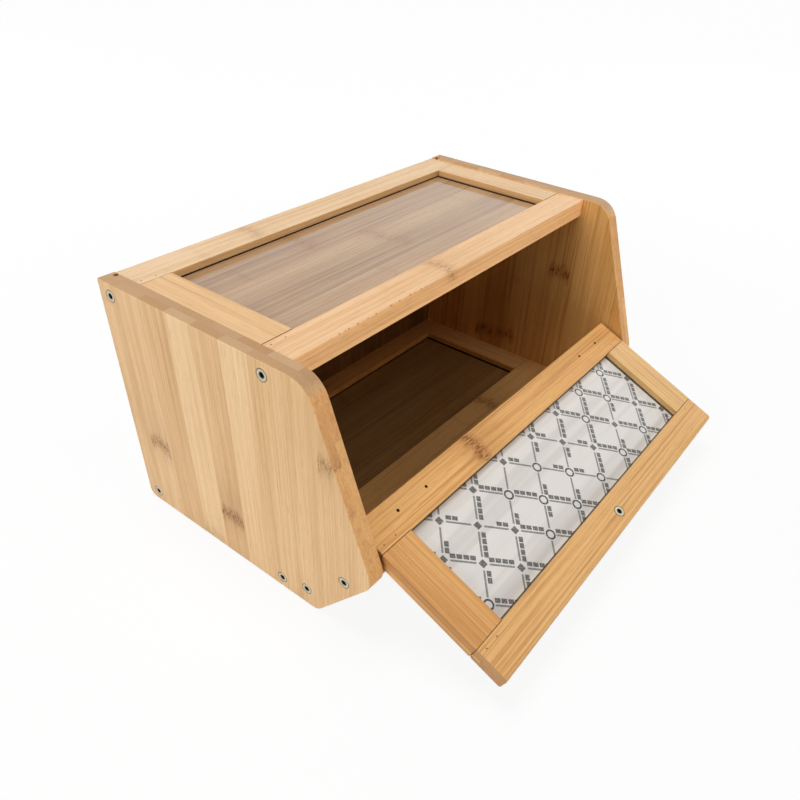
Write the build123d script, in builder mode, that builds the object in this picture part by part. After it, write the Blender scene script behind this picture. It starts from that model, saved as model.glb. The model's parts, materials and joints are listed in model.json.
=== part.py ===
from build123d import *
import os
from math import cos, hypot, radians, sin, tan

# A bamboo bread box with a drop-down window door, shown with the door open.
# Millimetres. +X is to the right, seen from the front, the front faces -Y and +Z is up.
# The origin is on the table, under the middle of the box and its open door.
# "Depth" is measured forwards from the rear face of the case.

os.makedirs("parts", exist_ok=True)

# Case
case_width = 400.0
case_height = 200.0
side_thickness = 14.0
side_top_depth = 199.0  # where the top edge would meet the front slope
front_slope = 20.0  # degrees from the vertical
nose_height = 63.5  # where the slope meets the undercut
side_base_depth = 196.5  # where the undercut meets the base
top_front_round = 22.0
nose_round = 14.5
base_front_round = 12.0
base_rear_round = 7.0
top_rear_round = 1.5
side_edge_round = 1.0

# Top and bottom frames
frame_thickness = 15.0
top_frame_drop = 1.0  # below the sides' top edges
bottom_frame_raise = 1.0  # above the sides' bottom edges
rear_rail_width = 28.5
top_front_rail_width = 26.0
bottom_front_rail_width = 30.0
frame_stile_width = 26.5
edge_round = 0.5

# Grooves, panels and tenons, in all three frames
groove_lip = 5.3  # wood between the face and the groove
groove_height = 3.7
groove_depth = 6.0
panel_thickness = 3.2
panel_edge_gap = 0.5
tenon_length = 8.0
tenon_end_gap = 0.3
joint_gap = 0.2  # at a stile's shoulder

# Back panel
back_groove_inset = 4.4
back_groove_depth = 4.6
back_panel_gap = 0.4

# Door
door_side_gap = 2.5
door_thickness = 15.0
door_rail_width = 27.0
door_stile_width = 30.0
door_top_drop = 5.3  # closed door's top edge, below the sides' top edges
door_recess = 8.6  # closed door's outer face, behind the sides' slope
door_closing_gap = 1.3  # between the closed door and the top front rail
door_open_angle = 23.3  # degrees below the horizontal
door_outer_round = 4.0
door_tip_round = 3.5
door_inner_round = 1.0
window_thickness = 3.0
film_thickness = 0.2

# Door pivot
pivot_height = 78.0
pivot_setback = 11.5  # from the hinge rail's edge
pin_radius = 2.5
pin_running_clearance = 0.05
pin_side_depth = 8.0
pin_rail_depth = 75.0
pin_end_gap = 0.5
pin_chamfer = 0.4
lock_brad_radius = 1.0
lock_brad_setback = 33.5  # from the hinge rail's end
lock_brad_spacing = 32.0
lock_brad_recess = 1.5

# Lower front board
board_thickness = 15.0
board_angle = 42.7  # degrees above the horizontal
board_seat_drop = 0.5  # its inner face starts this far below the floor frame's top
board_tip_round = 3.0
board_screw_setback = 9.5
board_screw_spacing = 50.5
stop_clearance = 0.3  # under the open door
sweep_clearance = 0.5  # around the turning hinge rail

# Screws
screw_length = 40.0
screw_radius = 2.5
screw_head_radius = 4.5
screw_head_rim = 0.3
screw_recess = 0.2
screw_tip = 3.0
socket_width = 4.0
socket_depth = 2.2
pilot_clearance = 0.05
pilot_extra_depth = 1.0
frame_screw_inset = 10.0  # from the sides' top and bottom edges
rear_screw_setback = 12.5
top_front_screw_setback = 12.0
bottom_front_screw_setback = 13.5

# Brads in the frames' tenons
brad_radius = 0.6
brad_spacing = 12.0
brad_recess = 0.3
brad_bite = 1.0  # into the wood behind the tenon

# Knob
knob_radius = 11.0
knob_height = 20.0
knob_neck_radius = 6.5
knob_neck_height = 6.0
knob_flare = 4.0  # height over which the neck widens to the head
knob_neck_round = 3.0
knob_flare_round = 1.5
knob_top_round = 5.0
knob_setback = 12.0  # from the door's top edge
knob_screw_length = 27.0

# What follows from these sizes
half_case = case_width / 2
half_inside = half_case - side_thickness
slope = radians(front_slope)
nose_depth = side_top_depth + (case_height - nose_height) * tan(slope)
top_frame_face = case_height - top_frame_drop
bottom_frame_face = bottom_frame_raise + frame_thickness
back_groove_width = panel_thickness + back_panel_gap
groove_back = groove_lip + groove_height
brad_depth = groove_back + brad_bite

# The closed door lies parallel to the sides' slope
half_door = half_inside - door_side_gap
closed_door_top = case_height - door_top_drop
door_length = pivot_setback + (
    closed_door_top - pivot_height + door_thickness / 2 * sin(slope)
) / cos(slope)
pivot_depth = (
    side_top_depth
    + (case_height - pivot_height) * tan(slope)
    - (door_recess + door_thickness / 2) / cos(slope)
)
frame_depth = (
    side_top_depth
    + door_top_drop * tan(slope)
    - (door_recess + door_thickness) / cos(slope)
    - door_closing_gap
)

# The open door, from the hinge rail's inner edge to its rounded tip
open_angle = radians(door_open_angle)
hinge_edge_depth = (
    pivot_depth - pivot_setback * cos(open_angle) + door_thickness / 2 * sin(open_angle)
)
hinge_edge_height = (
    pivot_height + pivot_setback * sin(open_angle) + door_thickness / 2 * cos(open_angle)
)
tip_centre_depth = (
    hinge_edge_depth
    + (door_length - door_tip_round) * cos(open_angle)
    - door_tip_round * sin(open_angle)
)
overall_depth = tip_centre_depth + door_tip_round
rear_y = overall_depth / 2
pivot_y = rear_y - pivot_depth
back_groove_y = rear_y - back_groove_inset - back_groove_width / 2

# Planes on the frames' faces, with X along the box, Y towards the front and Z into the wood
top_face = Plane(origin=(0, rear_y, top_frame_face), x_dir=(1, 0, 0), z_dir=(0, 0, -1))
bottom_face = Plane(origin=(0, rear_y, bottom_frame_face), x_dir=(1, 0, 0), z_dir=(0, 0, -1))
door_face = Plane(
    origin=(0, rear_y - hinge_edge_depth, hinge_edge_height),
    x_dir=(1, 0, 0),
    z_dir=(0, sin(open_angle), -cos(open_angle)),
)

# The lower front board's directions, along it and through it
board_tilt = radians(board_angle)
board_seat = Vector(0, rear_y - frame_depth, bottom_frame_face - board_seat_drop)
board_up = Vector(0, -cos(board_tilt), sin(board_tilt))
board_out = Vector(0, -sin(board_tilt), -cos(board_tilt))

# Screws through the sides, as (y, z)
top_screw_height = case_height - frame_screw_inset
top_screws = [
    (rear_y - rear_screw_setback, top_screw_height),
    (rear_y - frame_depth + top_front_screw_setback, top_screw_height),
]
bottom_screws = [
    (rear_y - rear_screw_setback, frame_screw_inset),
    (rear_y - frame_depth + bottom_front_screw_setback, frame_screw_inset),
]
low_board_screw = board_seat + board_up * board_screw_setback + board_out * (board_thickness / 2)
high_board_screw = low_board_screw + board_up * board_screw_spacing
board_screws = [
    (low_board_screw.Y, low_board_screw.Z),
    (high_board_screw.Y, high_board_screw.Z),
]
pilot_radius = screw_radius + pilot_clearance
pilot_depth = screw_length - side_thickness + pilot_extra_depth
sink_radius = screw_head_radius + screw_head_rim + screw_recess


def write_part(builder, name):
    """Labels a finished piece and writes it to its file."""
    builder.part.label = name
    export_step(builder.part, f"parts/{name}.step")


def end_face(sign, half_width, y, z):
    """A plane on a side or on a rail's end, whose Z points out of the box."""
    return Plane(origin=(sign * half_width, y, z), x_dir=(0, 1, 0), z_dir=(sign, 0, 0))


def bore_ends(half_length, places):
    """Pilot holes for the screws in both ends of a bar along X."""
    for sign in (-1, 1):
        for y, z in places:
            with Locations(end_face(sign, half_length, y, z)):
                Hole(radius=pilot_radius, depth=pilot_depth)


def brad_places(half_width, opening_half, opening_edge, into_wood):
    """The brads of one rail, two through each tenon, in the frame's own plane."""
    tenon_middle = (half_width + opening_half + groove_depth) / 2
    return [
        (side * (tenon_middle + step), opening_edge + into_wood * tenon_length / 2)
        for side in (-1, 1)
        for step in (-brad_spacing / 2, brad_spacing / 2)
    ]


def rail_blank(face, thickness, half_length, outer_edge, opening_edge, opening_half):
    """A bar along X with a panel groove, and a mortise at each end, in its opening edge."""
    into_wood = 1 if outer_edge > opening_edge else -1
    outwards = Axis(face.origin, face.y_dir * into_wood)
    mortise_width = half_length - opening_half - groove_depth
    mortise_middle = half_length - mortise_width / 2
    mortise_place = opening_edge + into_wood * tenon_length / 2
    with BuildPart() as rail:
        with BuildSketch(face):
            with Locations((0, (outer_edge + opening_edge) / 2)):
                Rectangle(2 * half_length, abs(outer_edge - opening_edge))
        extrude(amount=thickness)
        fillet(rail.edges().filter_by(Axis.X).sort_by(outwards)[:2], edge_round)

        with BuildSketch(face.offset(groove_lip)):
            with Locations((0, opening_edge + into_wood * groove_depth / 2)):
                Rectangle(2 * half_length, groove_depth)
            with Locations((-mortise_middle, mortise_place), (mortise_middle, mortise_place)):
                Rectangle(mortise_width, tenon_length)
        extrude(amount=groove_height, mode=Mode.SUBTRACT)

        with BuildSketch(face):
            with Locations(*brad_places(half_length, opening_half, opening_edge, into_wood)):
                Circle(brad_radius)
        extrude(amount=brad_depth, mode=Mode.SUBTRACT)
    return rail.part


def stile_blank(face, thickness, sign, half_width, opening_half, rear_edge, front_edge):
    """A bar between two rails, grooved for the panel, with a stub tenon at each end."""
    outwards = Axis(face.origin, face.x_dir * sign)
    along = Axis(face.origin, face.y_dir)
    length = front_edge - rear_edge
    half_way = (rear_edge + front_edge) / 2
    tenon_width = half_width - opening_half - groove_depth
    places = brad_places(half_width, opening_half, rear_edge, -1)
    places += brad_places(half_width, opening_half, front_edge, 1)
    with BuildPart() as stile:
        with BuildSketch(face):
            with Locations((sign * (half_width + opening_half) / 2, half_way)):
                Rectangle(half_width - opening_half, length - 2 * joint_gap)
        extrude(amount=thickness)
        fillet(stile.edges().filter_by(along).sort_by(outwards)[:2], edge_round)

        with BuildSketch(face.offset(groove_lip)):
            with Locations((sign * (half_width - tenon_width / 2), half_way)):
                Rectangle(tenon_width, length + 2 * (tenon_length - tenon_end_gap))
        extrude(amount=groove_height)
        with BuildSketch(face.offset(groove_lip)):
            with Locations((sign * (opening_half + groove_depth / 2), half_way)):
                Rectangle(groove_depth, length)
            with Locations(*[place for place in places if place[0] * sign > 0]):
                Circle(brad_radius)
        extrude(amount=groove_height, mode=Mode.SUBTRACT)
    return stile.part


def sheet_blank(face, back, thickness, opening_half, rear_edge, front_edge):
    """A thin sheet in the frame's grooves; back is its far side's distance from the face."""
    reach = groove_depth - panel_edge_gap
    with BuildPart() as sheet:
        with BuildSketch(face.offset(back - thickness)):
            with Locations((0, (rear_edge + front_edge) / 2)):
                Rectangle(2 * (opening_half + reach), front_edge - rear_edge + 2 * reach)
        extrude(amount=thickness)
    return sheet


def frame_brads(face, half_width, opening_half, rear_edge, front_edge):
    """The brads of all four joints of a frame."""
    with BuildPart() as brads:
        with BuildSketch(face.offset(brad_recess)):
            with Locations(
                *brad_places(half_width, opening_half, rear_edge, -1),
                *brad_places(half_width, opening_half, front_edge, 1),
            ):
                Circle(brad_radius)
        extrude(amount=brad_depth - brad_recess)
    return brads


def socket_screw(head, length):
    """A countersunk screw with a hexagon socket; head is a plane whose Z points into the wood."""
    cone_end = screw_recess + screw_head_rim + screw_head_radius - screw_radius
    with BuildPart() as screw:
        with BuildSketch(Plane(origin=head.origin, x_dir=head.x_dir, z_dir=-head.y_dir)):
            with BuildLine():
                Polyline(
                    (0, screw_recess),
                    (screw_head_radius, screw_recess),
                    (screw_head_radius, screw_recess + screw_head_rim),
                    (screw_radius, cone_end),
                    (screw_radius, length - screw_tip),
                    (0, length),
                    close=True,
                )
            make_face()
        revolve(axis=Axis(head.origin, head.z_dir))
        with BuildSketch(head.offset(screw_recess)):
            RegularPolygon(socket_width / 2, 6, major_radius=False)
        extrude(amount=socket_depth, mode=Mode.SUBTRACT)
    return screw


def screws_through_sides(places):
    """One screw at each place, through each side."""
    blanks = [
        socket_screw(end_face(-sign, -half_case, y, z), screw_length)
        for sign in (-1, 1)
        for y, z in places
    ]
    with BuildPart() as screws:
        for blank in blanks:
            add(blank.part)
    return screws


# Side panels
for name, sign in (("left", -1), ("right", 1)):
    with BuildPart() as side_panel:
        with BuildSketch(Plane.YZ.offset(sign * half_case)):
            with BuildLine():
                FilletPolyline(
                    (rear_y, 0),
                    (rear_y, case_height),
                    (rear_y - side_top_depth, case_height),
                    (rear_y - nose_depth, nose_height),
                    (rear_y - side_base_depth, 0),
                    radius=(
                        base_rear_round,
                        top_rear_round,
                        top_front_round,
                        nose_round,
                        base_front_round,
                    ),
                    close=True,
                )
            make_face()
        extrude(amount=-sign * side_thickness)
        fillet(side_panel.faces().filter_by(Axis.X).edges(), side_edge_round)

        with BuildSketch(Plane.YZ.offset(sign * half_inside)):
            with Locations((back_groove_y, case_height / 2)):
                Rectangle(back_groove_width, case_height)
        extrude(amount=sign * back_groove_depth, mode=Mode.SUBTRACT)

        for y, z in top_screws + bottom_screws + board_screws:
            with Locations(end_face(sign, half_case, y, z)):
                CounterSinkHole(pilot_radius, sink_radius, side_thickness, 90)
        with Locations(end_face(-sign, -half_inside, pivot_y, pivot_height)):
            Hole(pin_radius + pin_running_clearance, pin_side_depth + pin_end_gap)
    write_part(side_panel, f"{name}_side_panel")


# Top and bottom frames: rails, stiles, panel, brads and screws
opening_half = half_inside - frame_stile_width
for name, face, front_width, screws, back_groove_z in (
    ("top", top_face, top_front_rail_width, top_screws, top_frame_face - frame_thickness),
    ("bottom", bottom_face, bottom_front_rail_width, bottom_screws, bottom_frame_face),
):
    opening_front = frame_depth - front_width
    rear_blank = rail_blank(face, frame_thickness, half_inside, 0, rear_rail_width, opening_half)
    front_blank = rail_blank(
        face, frame_thickness, half_inside, frame_depth, opening_front, opening_half
    )
    with BuildPart() as rear_rail:
        add(rear_blank)
        fillet(rear_rail.edges().filter_by(Axis.X).sort_by(Axis.Y)[-2:], edge_round)
        with Locations((0, back_groove_y, back_groove_z)):
            Box(2 * half_inside, back_groove_width, 2 * back_groove_depth, mode=Mode.SUBTRACT)
        bore_ends(half_inside, screws[:1])
    write_part(rear_rail, f"{name}_rear_rail")

    with BuildPart() as front_rail:
        add(front_blank)
        fillet(front_rail.edges().filter_by(Axis.X).sort_by(Axis.Y)[:2], edge_round)
        bore_ends(half_inside, screws[1:])
    write_part(front_rail, f"{name}_front_rail")

    for hand, sign in (("left", -1), ("right", 1)):
        side_blank = stile_blank(
            face, frame_thickness, sign, half_inside, opening_half, rear_rail_width, opening_front
        )
        with BuildPart() as frame_stile:
            add(side_blank)
        write_part(frame_stile, f"{name}_{hand}_stile")

    panel = sheet_blank(
        face, groove_back, panel_thickness, opening_half, rear_rail_width, opening_front
    )
    write_part(panel, f"{name}_panel")
    brads = frame_brads(face, half_inside, opening_half, rear_rail_width, opening_front)
    write_part(brads, f"{name}_frame_brads")
    write_part(screws_through_sides(screws), f"{name}_frame_screws")


# Back panel, in grooves of the sides and the rear rails
with BuildPart() as back_panel:
    back_low = bottom_frame_face - back_groove_depth
    back_high = top_frame_face - frame_thickness + back_groove_depth - back_panel_gap
    back_half = half_inside + back_groove_depth - back_panel_gap
    with BuildSketch(Plane.XZ.offset(back_groove_inset + back_groove_width - rear_y)):
        with Locations((0, (back_low + back_high) / 2)):
            Rectangle(2 * back_half, back_high - back_low)
    extrude(amount=-panel_thickness)
write_part(back_panel, "back_panel")


# Lower front board, cut to the floor frame, the base and the open door that rests on it
sweep_radius = sweep_clearance + door_outer_round + hypot(
    pivot_setback - door_outer_round, door_thickness / 2 - door_outer_round
)
with BuildPart() as lower_front_board:
    board_side = Plane(origin=board_seat, x_dir=board_up, z_dir=(1, 0, 0))
    with BuildSketch(board_side.offset(-half_inside)):
        with Locations((0, board_thickness / 2)):
            Rectangle(2 * nose_depth, board_thickness)
    extrude(amount=2 * half_inside)
    split(bisect_by=Plane(origin=board_seat, z_dir=(0, -1, 0)), keep=Keep.TOP)
    split(bisect_by=Plane.XY.offset(bottom_frame_raise), keep=Keep.TOP)
    split(bisect_by=door_face.offset(door_thickness + stop_clearance), keep=Keep.TOP)
    fillet(lower_front_board.edges().filter_by(Axis.X).sort_by(Axis.Y)[0], board_tip_round)
    with BuildSketch(Plane.YZ.offset(-half_inside)):
        with Locations((pivot_y, pivot_height)):
            Circle(sweep_radius)
    extrude(amount=2 * half_inside, mode=Mode.SUBTRACT)
    bore_ends(half_inside, board_screws)
write_part(lower_front_board, "lower_front_board")
write_part(screws_through_sides(board_screws), "front_board_screws")


# Door: rails, stiles, window, film and brads
window_half = half_door - door_stile_width
window_far = door_length - door_rail_width
door_along = Axis(door_face.origin, door_face.y_dir)
door_through = Axis(door_face.origin, door_face.z_dir)
lock_brads = [
    (side * (half_door - lock_brad_setback - step), pivot_setback)
    for side in (-1, 1)
    for step in (0, lock_brad_spacing)
]

hinge_blank = rail_blank(
    door_face, door_thickness, half_door, 0, door_rail_width, window_half
)
with BuildPart() as door_hinge_rail:
    add(hinge_blank)
    outer_rim = door_hinge_rail.faces().sort_by(door_through)[-1].edges().sort_by(door_along)
    fillet(outer_rim[:3], door_outer_round)
    inner_rim = door_hinge_rail.faces().sort_by(door_through)[0].edges().sort_by(door_along)
    fillet(inner_rim[:3], door_inner_round)
    with BuildSketch(door_face):
        with Locations(*lock_brads):
            Circle(lock_brad_radius)
    extrude(amount=door_thickness / 2, mode=Mode.SUBTRACT)
    for sign in (-1, 1):
        with Locations(end_face(sign, half_door, pivot_y, pivot_height)):
            Hole(radius=pin_radius, depth=pin_rail_depth + pin_end_gap)
write_part(door_hinge_rail, "door_hinge_rail")

knob_place = door_length - knob_setback
knob_head = Plane(
    origin=door_face.from_local_coords((0, knob_place, 0)),
    x_dir=(1, 0, 0),
    z_dir=door_face.z_dir,
)
tip_blank = rail_blank(
    door_face, door_thickness, half_door, door_length, window_far, window_half
)
with BuildPart() as door_top_rail:
    add(tip_blank)
    outer_rim = door_top_rail.faces().sort_by(door_through)[-1].edges().sort_by(door_along)
    fillet(outer_rim[-3:], door_outer_round)
    inner_rim = door_top_rail.faces().sort_by(door_through)[0].edges().sort_by(door_along)
    fillet(inner_rim[-1:], door_tip_round)
    inner_rim = door_top_rail.faces().sort_by(door_through)[0].edges().sort_by(Axis.X)
    fillet([inner_rim[0], inner_rim[-1]], door_inner_round)
    with Locations(Plane(origin=knob_head.origin, x_dir=(1, 0, 0), z_dir=-door_face.z_dir)):
        CounterSinkHole(pilot_radius, sink_radius, door_thickness, 90)
write_part(door_top_rail, "door_top_rail")

for name, sign in (("left", -1), ("right", 1)):
    side_blank = stile_blank(
        door_face, door_thickness, sign, half_door, window_half, door_rail_width, window_far
    )
    with BuildPart() as door_stile:
        add(side_blank)
        outwards = Axis(door_face.origin, door_face.x_dir * sign)
        outer_edges = door_stile.edges().filter_by(door_along).group_by(outwards)[-1]
        fillet(outer_edges.sort_by(door_through)[-1], door_outer_round)
        outer_edges = door_stile.edges().filter_by(door_along).group_by(outwards)[-1]
        fillet(outer_edges.sort_by(door_through)[0], door_inner_round)
    write_part(door_stile, f"door_{name}_stile")

window = sheet_blank(
    door_face, groove_back, window_thickness, window_half, door_rail_width, window_far
)
write_part(window, "door_window")
film = sheet_blank(
    door_face,
    groove_back - window_thickness,
    film_thickness,
    window_half,
    door_rail_width,
    window_far,
)
write_part(film, "window_film")
write_part(
    frame_brads(door_face, half_door, window_half, door_rail_width, window_far), "door_brads"
)

# Pivot pins, fast in the hinge rail and free to turn in the sides
for name, sign in (("left", -1), ("right", 1)):
    with BuildPart() as pivot_pin:
        with BuildSketch(Plane.YZ.offset(sign * (half_door - pin_rail_depth))):
            with Locations((pivot_y, pivot_height)):
                Circle(pin_radius)
        extrude(amount=sign * (pin_rail_depth + door_side_gap + pin_side_depth))
        chamfer(pivot_pin.edges().filter_by(GeomType.CIRCLE), pin_chamfer)
    write_part(pivot_pin, f"{name}_pivot_pin")

with BuildPart() as pivot_lock_brads:
    with BuildSketch(door_face.offset(lock_brad_recess)):
        with Locations(*lock_brads):
            Circle(lock_brad_radius)
    extrude(amount=door_thickness / 2 - pin_radius - lock_brad_recess)
write_part(pivot_lock_brads, "pivot_lock_brads")

# Knob and its screw
write_part(socket_screw(knob_head, knob_screw_length), "knob_screw")
with BuildPart() as door_knob:
    knob_base = knob_head.offset(door_thickness)
    with BuildSketch(Plane(origin=knob_base.origin, x_dir=(1, 0, 0), z_dir=-door_face.y_dir)):
        with BuildLine():
            FilletPolyline(
                (0, 0),
                (knob_neck_radius, 0),
                (knob_neck_radius, knob_neck_height),
                (knob_radius, knob_neck_height + knob_flare),
                (knob_radius, knob_height),
                (0, knob_height),
                radius=(0, 0, knob_neck_round, knob_flare_round, knob_top_round, 0),
                close=True,
            )
        make_face()
    revolve(axis=Axis(knob_base.origin, knob_base.z_dir))
    with Locations(Plane(origin=knob_base.origin, x_dir=(1, 0, 0), z_dir=-door_face.z_dir)):
        Hole(radius=pilot_radius, depth=knob_screw_length - door_thickness + pilot_extra_depth)
write_part(door_knob, "door_knob")
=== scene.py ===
import json
from math import cos, radians, sin

import bpy
import numpy as np
from mathutils import Matrix, Vector


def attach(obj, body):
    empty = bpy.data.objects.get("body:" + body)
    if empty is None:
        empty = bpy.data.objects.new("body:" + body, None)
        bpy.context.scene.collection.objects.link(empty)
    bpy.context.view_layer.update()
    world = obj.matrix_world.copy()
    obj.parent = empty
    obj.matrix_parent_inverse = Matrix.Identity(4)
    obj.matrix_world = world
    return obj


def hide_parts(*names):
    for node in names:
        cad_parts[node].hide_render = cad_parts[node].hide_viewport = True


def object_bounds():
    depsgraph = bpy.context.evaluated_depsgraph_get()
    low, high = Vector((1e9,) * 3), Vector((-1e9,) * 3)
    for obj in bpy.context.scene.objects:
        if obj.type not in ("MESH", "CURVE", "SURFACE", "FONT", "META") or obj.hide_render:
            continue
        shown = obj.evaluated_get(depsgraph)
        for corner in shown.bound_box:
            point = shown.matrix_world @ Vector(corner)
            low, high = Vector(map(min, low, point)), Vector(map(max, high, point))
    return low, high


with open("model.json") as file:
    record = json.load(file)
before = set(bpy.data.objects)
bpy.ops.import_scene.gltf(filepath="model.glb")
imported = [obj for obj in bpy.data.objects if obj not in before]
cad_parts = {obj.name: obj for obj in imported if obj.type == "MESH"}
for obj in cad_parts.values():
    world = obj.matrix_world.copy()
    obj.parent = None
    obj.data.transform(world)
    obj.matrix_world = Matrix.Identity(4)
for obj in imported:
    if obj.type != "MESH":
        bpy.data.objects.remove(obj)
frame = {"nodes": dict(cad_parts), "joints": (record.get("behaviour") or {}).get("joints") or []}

# A bamboo bread box with a drop-down window door, shown with the door open.
# Metres, in the part's own frame: +X to the right seen from the front, the front faces -Y, +Z up.

cad_low, cad_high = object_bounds()

MM = 0.001
UP = Vector((0, 0, 1))
RIGHT = Vector((1, 0, 0))
FRONT = Vector((0, -1, 0))

# The open door's own directions: towards its top rail, and out of its inner face
DOOR_ANGLE = radians(23.3)
DOOR_ALONG = Vector((0, -cos(DOOR_ANGLE), -sin(DOOR_ANGLE)))
DOOR_NORMAL = Vector((0, -sin(DOOR_ANGLE), cos(DOOR_ANGLE)))

# The lower front board's directions: up its slope, and out of its inner face
BOARD_ANGLE = radians(42.7)
BOARD_ALONG = Vector((0, -cos(BOARD_ANGLE), sin(BOARD_ANGLE)))
BOARD_NORMAL = Vector((0, sin(BOARD_ANGLE), cos(BOARD_ANGLE)))

# Sizes and places of CAD pieces that the finishes need
SCREW_HEAD_RADIUS = 4.5 * MM
LOCK_BRAD_RADIUS = 1 * MM
LOCK_BRAD_SPACING = 32 * MM
DOOR_HALF_THICKNESS = 7.5 * MM
PIVOT = Vector(frame["joints"][0]["pos_m"])


def reach(node, direction):
    """The lowest and highest place of a CAD node along a direction."""
    mesh = frame["nodes"][node].data
    points = np.empty(len(mesh.vertices) * 3)
    mesh.vertices.foreach_get("co", points)
    places = points.reshape(-1, 3) @ np.array(direction)
    return float(places.min()), float(places.max())


# Shader maths -------------------------------------------------------------------------------------


class Signal:
    """A shader socket that takes part in sums: each operator adds one Math node after it."""

    def __init__(self, tree, socket):
        self.tree = tree
        self.socket = socket

    def math(self, operation, *others):
        return self.tree.node("ShaderNodeMath", {"operation": operation}, [self, *others])

    def __add__(self, other):
        return self.math("ADD", other)

    __radd__ = __add__

    def __sub__(self, other):
        return self.math("SUBTRACT", other)

    def __rsub__(self, other):
        return self.tree.node("ShaderNodeMath", {"operation": "SUBTRACT"}, [other, self])

    def __mul__(self, other):
        return self.math("MULTIPLY", other)

    __rmul__ = __mul__

    def __truediv__(self, other):
        return self.math("DIVIDE", other)

    def __abs__(self):
        return self.math("ABSOLUTE")

    def __pow__(self, power):
        return self.math("POWER", power)

    def __gt__(self, other):
        return self.math("GREATER_THAN", other)

    def most(self, other):
        return self.math("MAXIMUM", other)

    def least(self, other):
        return self.math("MINIMUM", other)

    def floor(self):
        return self.math("FLOOR")

    def fraction(self):
        return self.math("FRACT")

    def along(self, direction):
        """The length of a vector signal along a direction."""
        settings = {"operation": "DOT_PRODUCT"}
        return self.tree.node("ShaderNodeVectorMath", settings, [self, tuple(direction)], "Value")

    def step(self, low, high):
        """A smooth step from 0 at low to 1 at high; low may be the larger."""
        settings = {"interpolation_type": "SMOOTHSTEP"}
        inputs = {"Value": self, "From Min": low, "From Max": high}
        return self.tree.node("ShaderNodeMapRange", settings, inputs)

    def bell(self, width):
        """1 where the signal is 0, falling away smoothly to either side over the width."""
        return abs(self).step(width, 0)

    def between(self, low, high, soft):
        """1 from low to high, with soft ends."""
        return self.step(low - soft, low) * self.step(high + soft, high)


class Finish:
    """The node tree of a material or of the world, which starts empty."""

    def __init__(self, owner):
        owner.use_nodes = True
        self.owner = owner
        self.nodes = owner.node_tree.nodes
        self.links = owner.node_tree.links
        self.nodes.clear()

    def node(self, kind, settings=None, inputs=(), output=0):
        """Adds a node: its settings first, then the values or signals of its sockets."""
        made = self.nodes.new(kind)
        for key, value in (settings or {}).items():
            if key == "stops":
                self.set_stops(made.color_ramp, value)
            elif key == "interpolation":
                made.color_ramp.interpolation = value
            else:
                setattr(made, key, value)
        pairs = inputs.items() if isinstance(inputs, dict) else enumerate(inputs)
        for key, value in pairs:
            if isinstance(value, Signal):
                self.links.new(value.socket, made.inputs[key])
            else:
                made.inputs[key].default_value = value
        return Signal(self, made.outputs[output])

    def set_stops(self, ramp, stops):
        """Gives a colour ramp its stops, as (position, colour)."""
        for _ in stops[2:]:
            ramp.elements.new(1)
        for element, (position, colour) in zip(ramp.elements, stops):
            element.position = position
            element.color = (*colour, 1)

    def place(self):
        return self.node("ShaderNodeTexCoord", output="Object")

    def normal(self):
        return self.node("ShaderNodeTexCoord", output="Normal")

    def vector(self, x, y, z):
        return self.node("ShaderNodeCombineXYZ", None, [x, y, z])

    def noise(self, x, y, z, detail=2.0, roughness=0.5):
        """Smooth noise around 0.5, with one feature a unit."""
        inputs = {
            "Vector": self.vector(x, y, z),
            "Scale": 1.0,
            "Detail": detail,
            "Roughness": roughness,
        }
        return self.node("ShaderNodeTexNoise", None, inputs)

    def chance(self, x, y, z):
        """An even random value from 0 to 1 for each whole-numbered cell."""
        return self.node("ShaderNodeTexWhiteNoise", None, [self.vector(x, y, z)])

    def choose(self, index, values):
        """The value whose turn it is as index counts up, starting again after the last."""
        count = len(values)
        stops = [(turn / count, (value,) * 3) for turn, value in enumerate(values)]
        settings = {"stops": stops, "interpolation": "CONSTANT"}
        return self.node("ShaderNodeValToRGB", settings, [((index + 0.5) / count).fraction()])

    def blend(self, factor, first, second, mode="MIX"):
        """Mixes two colours by a factor from 0 to 1."""
        settings = {"data_type": "RGBA", "blend_type": mode, "clamp_factor": True}
        inputs = {0: factor, 6: opaque(first), 7: opaque(second)}
        return self.node("ShaderNodeMix", settings, inputs, 2)

    def surface(self, **sockets):
        """Ends the tree in a Principled shader; a socket's name has _ for a space."""
        inputs = {name.replace("_", " "): value for name, value in sockets.items()}
        return self.end(self.node("ShaderNodeBsdfPrincipled", None, inputs))

    def end(self, shader, kind="ShaderNodeOutputMaterial"):
        """Links a shader to the tree's output, and gives back what the tree belongs to."""
        made = self.nodes.new(kind)
        self.links.new(shader.socket, made.inputs["Surface"])
        return self.owner


def new_finish(name):
    """The empty tree of a new material."""
    return Finish(bpy.data.materials.new(name))


def opaque(colour):
    """A colour with its alpha, or a signal as it is."""
    return colour if isinstance(colour, Signal) else (*colour, 1)


def from_nearest(x, y, centres):
    """How far the place x, y is from the nearest of the centres."""
    nearest = None
    for centre_x, centre_y in centres:
        distance = ((x - centre_x) ** 2.0 + (y - centre_y) ** 2.0) ** 0.5
        nearest = distance if nearest is None else nearest.least(distance)
    return nearest


def srgb(red, green, blue):
    """A colour written as a screen shows it, 0 to 255, in linear light."""
    return tuple(
        (c / 255 / 12.92) if c <= 10 else ((c / 255 + 0.055) / 1.055) ** 2.4
        for c in (red, green, blue)
    )


# Bamboo -------------------------------------------------------------------------------------------

LINE_COLOUR = srgb(172, 112, 56)
MARK_COLOUR = srgb(138, 86, 40)
# Painted shade in gaps and hole mouths, and also the colour of the dark joint lines
SHADE_AND_JOINT_COLOUR = srgb(26, 16, 8)
CHIP_COLOUR = srgb(190, 84, 40)
END_DARK = (0.78, 0.68, 0.55)  # what the darker end grain multiplies its colour by

# How far a face must turn to the grain, to the board's edge or away from its face to count as end
# grain, edge or inner face: not at all, and fully
END_FACE = (0.45, 0.9)
EDGE_FACE = (0.5, 0.9)
INNER_FACE = (-0.6, -0.95)

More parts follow.
